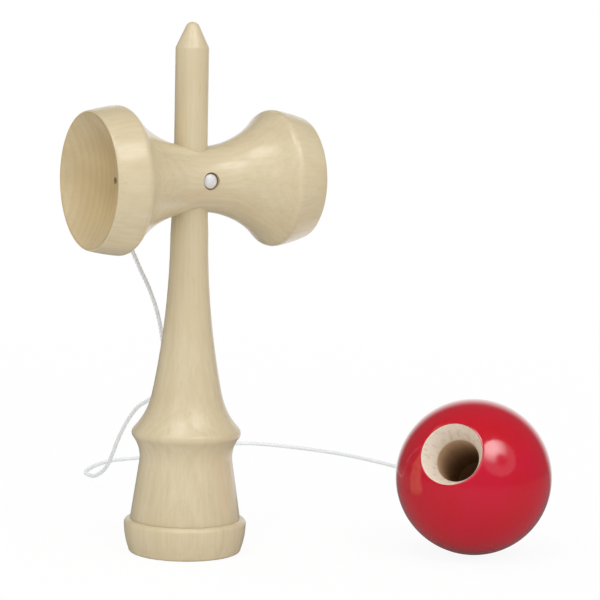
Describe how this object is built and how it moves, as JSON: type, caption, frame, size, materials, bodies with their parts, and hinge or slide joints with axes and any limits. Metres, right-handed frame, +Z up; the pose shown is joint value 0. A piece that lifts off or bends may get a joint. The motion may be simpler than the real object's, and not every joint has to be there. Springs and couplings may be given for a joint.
{
  "type": "cup and ball toy",
  "caption": "Upright wooden cup and ball toy: turned handle with a spike and a base cup, cross-piece with a cup at each end, and a red ball with a bevelled hole on a white string.",
  "frame": {"origin": "centre of the handle's base on the table", "axes": "+Z up along the handle to the spike, +X along the cross-piece to the small cup, pin's head facing -Y"},
  "size_m": [0.196, 0.262, 0.185],
  "materials": {
    "handle_wood": "satin lacquer on pale wood",
    "cross_wood": "satin lacquer on pale wood",
    "pin_steel": "bright",
    "ball_lacquer": "glossy red lacquer, bare wood in the bore",
    "bead_wood": "plain",
    "string": "twisted white cotton"
  },
  "bodies": {
    "handle_set": {"handle": "handle_wood", "cross_piece": "cross_wood", "cross_pin": "pin_steel", "anchor_knot": "string", "string": "string"},
    "string_end": {"ball_bead": "bead_wood", "bead_knot": "string", "string_tail": "string"},
    "ball": {"ball": "ball_lacquer"}
  },
  "joints": [
    {"name": "ball_lift", "type": "slide", "parent": "handle_set", "child": "string_end", "axis": [0, 0, 1], "range_m": [0, 0.19]},
    {"name": "ball_spin", "type": "hinge", "parent": "string_end", "child": "ball", "pos_m": [0.0906, -0.0457, 0.0275], "axis": [-0.7208, -0.5237, 0.454], "continuous": true}
  ]
}
